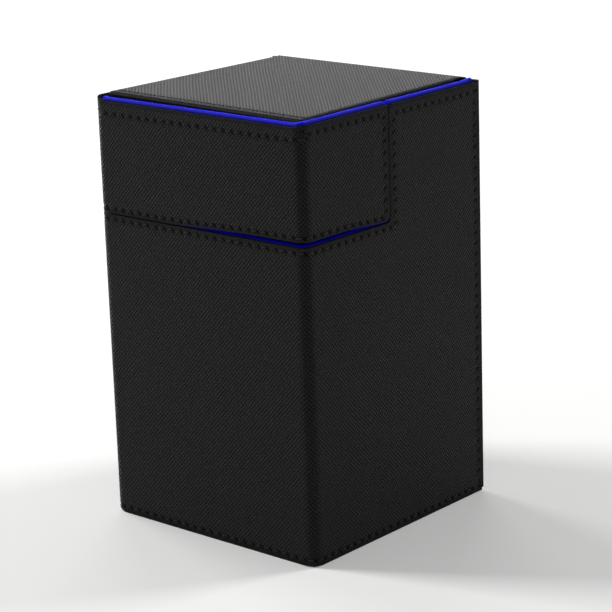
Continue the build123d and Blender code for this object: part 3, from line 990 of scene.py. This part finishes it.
def make_top_and_back(material):
    """One sheet over the lid's board, bent over the back edge as the living hinge, and down the back."""
    half_panel = PANEL_HIGH.x
    half_back = BACK_HIGH.x
    top = PANEL_HIGH.z
    back = BACK_HIGH.y
    front = PANEL_LOW.y
    flat_half = half_panel - LIP_TURN
    flat_front = front + LIP_TURN
    lip = LIP_TURN * math.pi / 2 + LIP_DROP - LIP_TURN
    bend_start = back - HINGE_TURN
    back_start = bend_start + HINGE_TURN * math.pi / 2
    straight_top = top - HINGE_TURN
    foot = back_start + straight_top - BACK_LOW.z
    shoulder = back_start + straight_top - BACK_HIGH.z

    def forward(v):
        """0 at the bend and 1 at the front edge."""
        return max(0.0, min(1.0, (bend_start - v) / (bend_start - front)))

    def lift(u, v):
        """The panel lies a little high at its left corner and a little low at its right front corner."""
        return forward(v) * PANEL_LEAN * (-u / half_panel)

    def spread(u, v):
        """The sheet was glued down a little askew, so its left front corner lies further out."""
        return u - PANEL_SKEW * ease(-u, 0, half_panel) * forward(v)

    def puff(v):
        """The strip between the seam and the front edge stands up a little."""
        share = (v - front) / PANEL_ROW_INSET
        return PANEL_PUFF * math.sin(math.pi * share) ** 2 if 0 < share < 1 else 0.0

    def fold(u, v):
        place, normal = fold_square(u, v)
        if v < bend_start and abs(u) < flat_half + lip:
            place = Vector((spread(place.x, v), place.y, place.z + puff(v)))
        return place, normal

    def fold_square(u, v):
        if v > back_start or (abs(u) > half_panel + SHEET * 0.2 and v > shoulder - SHEET * 0.2):
            return Vector((u, back, straight_top - (v - back_start))), Vector((0, 1, 0))
        rise = Vector((0, 0, lift(u, v)))
        if v > bend_start:
            angle = (v - bend_start) / HINGE_TURN
            normal = Vector((0, math.sin(angle), math.cos(angle)))
            return Vector((u, bend_start, straight_top)) + normal * HINGE_TURN, normal
        over_u = max(0.0, abs(u) - flat_half) * ease(bend_start - v, 0, 2 * HINGE_TURN)
        over_v = max(0.0, flat_front - v)
        over = max(over_u, over_v)
        if over < 1e-7:
            return Vector((u, v, top)) + rise, Vector((0, 0, 1))
        way = Vector((math.copysign(over_u, u), -over_v, 0)).normalized()
        angle = min(over / LIP_TURN, math.pi / 2)
        edge = Vector((max(-flat_half, min(flat_half, u)), max(flat_front, v), top - LIP_TURN))
        normal = way * math.sin(angle) + Vector((0, 0, math.cos(angle)))
        down = max(0.0, over - LIP_TURN * math.pi / 2)
        return edge + normal * LIP_TURN - Vector((0, 0, down)) + rise, normal

    side = [flat_half, half_panel, flat_half + lip, half_back]
    across = lines([-stop for stop in reversed(side)] + side)
    notch = bend_start - 2 * HINGE_TURN
    up = lines([flat_front - lip, flat_front, notch, bend_start, shoulder, back_start, foot])

    def keep(u, v):
        """Leaves out the notches beside the bend, where the lip ends and the back's shoulders begin."""
        if v < notch:
            return abs(u) < flat_half + lip
        if v < shoulder:
            return abs(u) < half_panel
        if v < back_start:
            return abs(u) < half_panel or abs(u) > flat_half + lip
        return True

    piece = flat_sheet("top_and_back_sheet", across, up, keep)
    panel_row = front + PANEL_ROW_INSET
    panel_seam = Seam([(-half_panel + 2.5 * MM, panel_row), (half_panel - 2.5 * MM, panel_row)])
    back_row = half_back - REAR_ROW_INSET
    base_seam = Seam([(-back_row, foot - BASE_ROW_RISE), (back_row, foot - BASE_ROW_RISE)])
    edges = [
        lambda u, v: half_back - abs(u) if v > back_start else AMID,
        lambda u, v: foot - v,
        lambda u, v: max(0.0, v - flat_front) + 0.8 * MM,
        lambda u, v: max(0.0, flat_half - abs(u)) + 0.9 * MM if v < bend_start else AMID,
    ]
    fold_sheet(piece, fold, [panel_seam, base_seam], edges)
    thicken(piece, SHEET, 0.2 * MM)
    finish_piece(piece, material, None, "embossed_leatherette", "lid_top_cover", "back_cover")
    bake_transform(piece)
    return panel_seam, base_seam, fold


def make_base(material):
    """The sheet under the base, with a worn edge that shows as a dark band below the wrap."""
    inset = 0.25 * MM
    half_x = HALF_WIDTH - inset
    half_y = -FRONT_Y - inset
    across = lines([-half_x, half_x], 3 * CELL)
    up = lines([-half_y, half_y], 3 * CELL)
    piece = flat_sheet("base_sheet", across, up, whole)

    def fold(u, v):
        for side in (-1, 1):
            u, v = round_outer((u, v), (side * half_x, -half_y), (-side, 1), BEND)
        return Vector((u, v, BASE_HIGH.z)), Vector((0, 0, 1))

    fold_sheet(piece, fold, [], [lambda u, v: half_x - abs(u), lambda u, v: half_y - abs(v)])
    thicken(piece, BASE_HIGH.z - BASE_LOW.z, 0.35 * MM)
    finish_piece(piece, material, "box", "embossed_leatherette", "base_cover")


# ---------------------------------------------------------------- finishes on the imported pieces

def dress_packed_pieces(finishes, own_finishes):
    """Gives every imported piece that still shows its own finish, or the finish of its material slot."""
    slots = {part["node"]: part["material_slot"] for part in frame["record"]["subparts"]}
    for name, piece in frame["nodes"].items():
        finish = own_finishes.get(name) or finishes.get(slots[name])
        if finish is None:
            continue
        for place in range(len(piece.material_slots)):
            piece.material_slots[place].material = finish
        if not piece.material_slots:
            piece.data.materials.append(finish)


# ---------------------------------------------------------------- studio

def make_studio():
    """A sheet of white paper, five soft lights and the camera."""
    bpy.ops.object.select_all(action="DESELECT")
    bpy.ops.mesh.primitive_plane_add(size=8.0, location=(0, 0, 0))
    floor = bpy.context.object
    floor.name = "floor"
    floor.data.materials.append(paper_floor("matt_white_paper"))

    world = bpy.data.worlds.new("studio")
    bpy.context.scene.world = world
    world.use_nodes = True
    sky = world.node_tree.nodes["Background"]
    sky.inputs["Color"].default_value = (1, 1, 1, 1)
    sky.inputs["Strength"].default_value = WORLD_STRENGTH
    bpy.context.scene.view_settings.view_transform = "Standard"

    for name, place, size, power in SOFT_LIGHTS:
        light_data = bpy.data.lights.new(name, "AREA")
        light_data.shape = "SQUARE"
        light_data.size = size
        light_data.energy = power
        light = bpy.data.objects.new(name, light_data)
        bpy.context.collection.objects.link(light)
        light.location = place
        light.rotation_euler = (Vector(place) - LIGHT_AIM).to_track_quat("Z", "Y").to_euler()

    camera_data = bpy.data.cameras.new("camera")
    camera_data.sensor_width = 36
    camera_data.lens = CAMERA_LENS
    camera = bpy.data.objects.new("camera", camera_data)
    bpy.context.collection.objects.link(camera)
    azimuth, elevation, roll = (math.radians(angle) for angle in CAMERA_ANGLES)
    level = math.cos(elevation)
    back = Vector((math.sin(azimuth) * level, -math.cos(azimuth) * level, math.sin(elevation)))
    right = (-back).cross(Vector((0, 0, 1))).normalized()
    up = right.cross(-back)
    turned_right = right * math.cos(roll) + up * math.sin(roll)
    turned_up = up * math.cos(roll) - right * math.sin(roll)
    place = Matrix((turned_right, turned_up, back)).transposed().to_4x4()
    place.translation = CAMERA_TARGET + back * CAMERA_DISTANCE
    camera.matrix_world = place
    bpy.context.scene.camera = camera


def main():
    """Makes the studio, every sheet, roll, lining and stitch, and dresses what still shows."""
    black = leatherette("embossed_pu_leatherette", "#030303", "#1d1d1c")
    # The last colour is the painted shade colour that the rolled edges darken towards, on their flanks and in
    # recesses.
    blue = microfibre("brushed_microfibre", "#0406e0", "#161dff", "#000074")
    sewn = thread("bonded_polyester_thread", "#1c1c1b")
    make_studio()

    cut_seam, rear_seams, base_seam = make_wrap(black)
    skirt_seam, top_seam = make_skirt(black)
    panel_seam, back_base_seam, top_fold = make_top_and_back(black)
    make_base(black)
    make_body_roll(blue)
    make_skirt_roll(blue)
    make_back_roll(blue)
    base_rows = [(base_seam, round_front), (back_base_seam, top_fold)]
    sew("cut_edge_thread", [(cut_seam, round_front)], sewn, "box", "cut_edge_stitching")
    sew("rear_edge_thread", [(seam, round_front) for seam in rear_seams], sewn, "box", "rear_edge_stitching")
    sew("base_edge_thread", base_rows, sewn, "box", "base_edge_stitching")
    sew("skirt_thread", [(skirt_seam, fold_skirt), (top_seam, fold_skirt)], sewn, "lid", "skirt_stitching")
    sew("panel_thread", [(panel_seam, top_fold)], sewn, "lid", "panel_stitching")

    pebbled = smooth_leatherette("pebbled_pu_leatherette", "#181817", "#0a0a0a")
    make_linings(blue)
    make_tray(pebbled, blue)
    dyed_board = chipboard("dyed_black_chipboard", "#080808", "#141413")
    slot_finishes = {
        "microfibre": blue,
        "greyboard": chipboard("grey_chipboard", "#6c6a63", "#9a968c"),
        "magnet": plated_magnet("nickel_plated_neodymium"),
        "smooth_leatherette": pebbled,
    }
    dress_packed_pieces(slot_finishes, {name: dyed_board for name in LID_BOARDS})


main()
